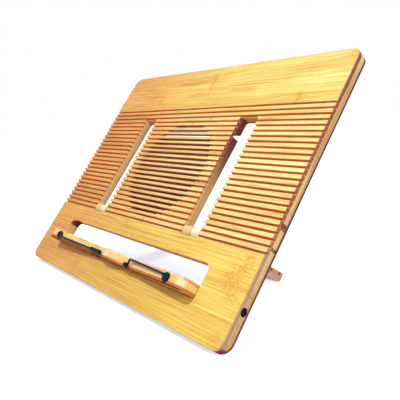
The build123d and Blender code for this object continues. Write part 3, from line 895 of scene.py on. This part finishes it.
def dress_ledge():
    under = plain_wood("ledge_under", LEDGE, 3.0, (UNDER_PALE, LEFT_DEEP), (UNDER_GOLD, UNDER_BROWN),
                       lacquered=False, edge_colour_and_light=browner_edge_and_shade_line)
    core = plain_wood("ledge_core", LEDGE, 5.0, (LEDGE_CREAM, LEDGE_GOLD), (LEDGE_CREAM, LEDGE_GOLD),
                      up_panel=True, edge_colour_and_light=painted_highlights)
    top = plain_wood("ledge_top", LEDGE, 8.0, (LEDGE_CREAM, LEDGE_GOLD), (LEDGE_GOLD, UNDER_BROWN))
    dress("ledge_front_ply", under)
    dress("ledge_core_ply", core)
    dress("ledge_back_ply", top)


def dress_legs():
    leg = leg_wood()
    peg = plain_wood("peg", LEG, 2.0, (PEG_RED, PEG_DARK), (PEG_RED, PEG_DARK))
    crossbar = plain_wood("crossbar", LEG, 14.0, (CORE_PALE, CORE_DEEP), (END_PALE, END_DEEP))
    for side in ("left", "right"):
        dress(f"leg_{side}", leg)
        dress(f"leg_pegs_{side}", peg)
    dress("leg_crossbar", crossbar)


def dress_metal():
    """The hinge pins, and the page clips with their finer screws and discs."""
    black = smooth_finish("black_metal", PIN_BLACK, 0.45, mirror=0.08)
    steel = smooth_finish("pin_steel", PIN_STEEL, 0.35, metallic=1.0)
    wire = smooth_finish("navy_wire", WIRE_NAVY, 0.28, mirror=0.14)
    sleeve = smooth_finish("sleeve_navy", SLEEVE_NAVY, 0.5, mirror=0.12)
    for side in ("left", "right"):
        dress(f"ledge_pin_{side}", black)
        dress(f"leg_pin_{side}", steel)
        dress(f"clip_wire_{side}", wire)
        dress(f"clip_sleeve_{side}", sleeve)
        cross_screw(side, wire)
        rolled_disc(side, wire)


# Floor, light and camera

def seen_directly(n):
    """1 on rays from the camera, in mirrors and through glass, and 0 on rays that carry light."""
    path = n.add("LightPath").outputs
    looks = n.math("MAXIMUM", path["Is Camera Ray"], path["Is Glossy Ray"])
    return n.math("MAXIMUM", looks, path["Is Transmission Ray"])


def floor_white():
    """A plain matte floor that the camera, mirrors and glass see whiter than it lights the stand."""
    material = bpy.data.materials.new("floor_white")
    material.use_nodes = True
    nodes = material.node_tree.nodes
    nodes.remove(nodes["Principled BSDF"])
    n = Nodes(material.node_tree)
    looks = seen_directly(n)
    matte = n.add("BsdfDiffuse", {"Color": n.mix(looks, FLOOR_LIT, FLOOR_SEEN)})
    spot = n.add("TexCoord").outputs["Object"]
    away = n.add("VectorMath", {0: spot}, operation="LENGTH").outputs["Value"]
    glow = n.total(FLOOR_GLOW, n.times(n.ramp(away, *SWEEP), FAR_GLOW - FLOOR_GLOW))
    lift = n.add("Emission", {"Color": FLOOR_SEEN, "Strength": n.times(looks, glow)})
    both = n.add("AddShader", {0: matte.outputs[0], 1: lift.outputs[0]})
    n.join(both.outputs[0], nodes["Material Output"].inputs["Surface"])
    return material


def lay_floor():
    mesh = bpy.data.meshes.new("floor")
    bm = bmesh.new()
    bmesh.ops.create_circle(bm, cap_ends=True, segments=FLOOR_SEGMENTS, radius=FLOOR_RADIUS)
    bm.to_mesh(mesh)
    bm.free()
    floor = bpy.data.objects.new("floor", mesh)
    bpy.context.scene.collection.objects.link(floor)
    mesh.materials.append(floor_white())


def light_room():
    world = bpy.data.worlds.new("studio")
    bpy.context.scene.world = world
    world.use_nodes = True
    n = Nodes(world.node_tree)
    shader = world.node_tree.nodes["Background"]
    looks = seen_directly(n)
    n.join(n.mix(looks, ROOM_WARM, WHITE), shader.inputs["Color"])
    n.join(n.total(n.times(looks, 1 - ROOM_LIGHT), ROOM_LIGHT), shader.inputs["Strength"])


def hang_lamps():
    """Disk lamps that all face the middle of the stand."""
    middle = (cad_low + cad_high) / 2
    for name, place, width, power, colour in LAMPS:
        data = bpy.data.lights.new(name, "AREA")
        data.shape = "DISK"
        data.size = width
        data.energy = power
        data.color = colour
        lamp = bpy.data.objects.new(name, data)
        lamp.location = place
        lamp.rotation_mode = "QUATERNION"
        lamp.rotation_quaternion = (middle - Vector(place)).to_track_quat("-Z", "Y")
        bpy.context.scene.collection.objects.link(lamp)


def set_camera():
    data = bpy.data.cameras.new("camera")
    data.lens = CAMERA_LENS
    data.sensor_width = SENSOR
    data.clip_start = NEAREST
    data.clip_end = FARTHEST
    camera = bpy.data.objects.new("camera", data)
    level = math.cos(CAMERA_FALL)
    forward = Vector((-math.sin(CAMERA_AZIMUTH) * level, math.cos(CAMERA_AZIMUTH) * level,
                      -math.sin(CAMERA_FALL)))
    turn = forward.to_track_quat("-Z", "Y").to_matrix().to_4x4() @ Matrix.Rotation(CAMERA_ROLL, 4, "Z")
    camera.matrix_world = Matrix.Translation(CAMERA_PLACE) @ turn
    bpy.context.scene.collection.objects.link(camera)
    bpy.context.scene.camera = camera


dress_panel()
dress_ledge()
dress_legs()
dress_metal()
lay_floor()
light_room()
hang_lamps()
set_camera()
bpy.context.scene.view_settings.view_transform = "Standard"
